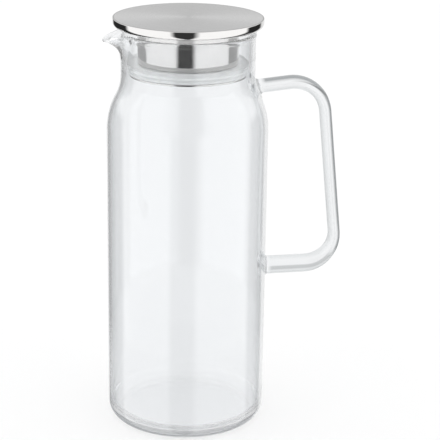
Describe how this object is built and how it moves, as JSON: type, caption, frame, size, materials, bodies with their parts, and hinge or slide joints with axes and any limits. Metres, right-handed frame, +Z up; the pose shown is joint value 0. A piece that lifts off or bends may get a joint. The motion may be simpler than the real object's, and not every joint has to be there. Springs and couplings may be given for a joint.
{
  "type": "glass pitcher with lid",
  "caption": "Tall straight-sided clear glass pitcher with a pinched pouring lip, a solid glass handle and a flat stainless steel plug lid sealed in the neck by a silicone ring.",
  "frame": {"origin": "on the jug's axis, on the surface it stands on", "axes": "+Z up along the jug's axis, +X towards the handle, -X towards the pouring lip"},
  "size_m": [0.1599, 0.105, 0.2721],
  "materials": {
    "clear_glass": "gloss",
    "brushed_lid_steel": "brushed",
    "polished_steel": "polished",
    "screw_steel": "satin",
    "clear_silicone": "satin",
    "white_moulding": "matte"
  },
  "bodies": {
    "jug": {"glass_body": "clear_glass", "glass_handle": "clear_glass"},
    "seal": {"seal_ring": "clear_silicone"},
    "lid": {"lid_cap": "brushed_lid_steel", "cap_stiffener": "white_moulding", "base_plate": "polished_steel", "plug_sleeve": "polished_steel", "plug_core": "white_moulding", "core_screws": "screw_steel", "seal_retainer": "polished_steel", "retainer_screws": "screw_steel"}
  },
  "joints": [
    {"name": "lid_lift", "type": "slide", "parent": "jug", "child": "seal", "axis": [0, 0, 1], "range_m": [0, 0.06]},
    {"name": "lid_turn", "type": "hinge", "parent": "seal", "child": "lid", "pos_m": [0, 0, 0.24], "axis": [0, 0, 1], "continuous": true}
  ]
}
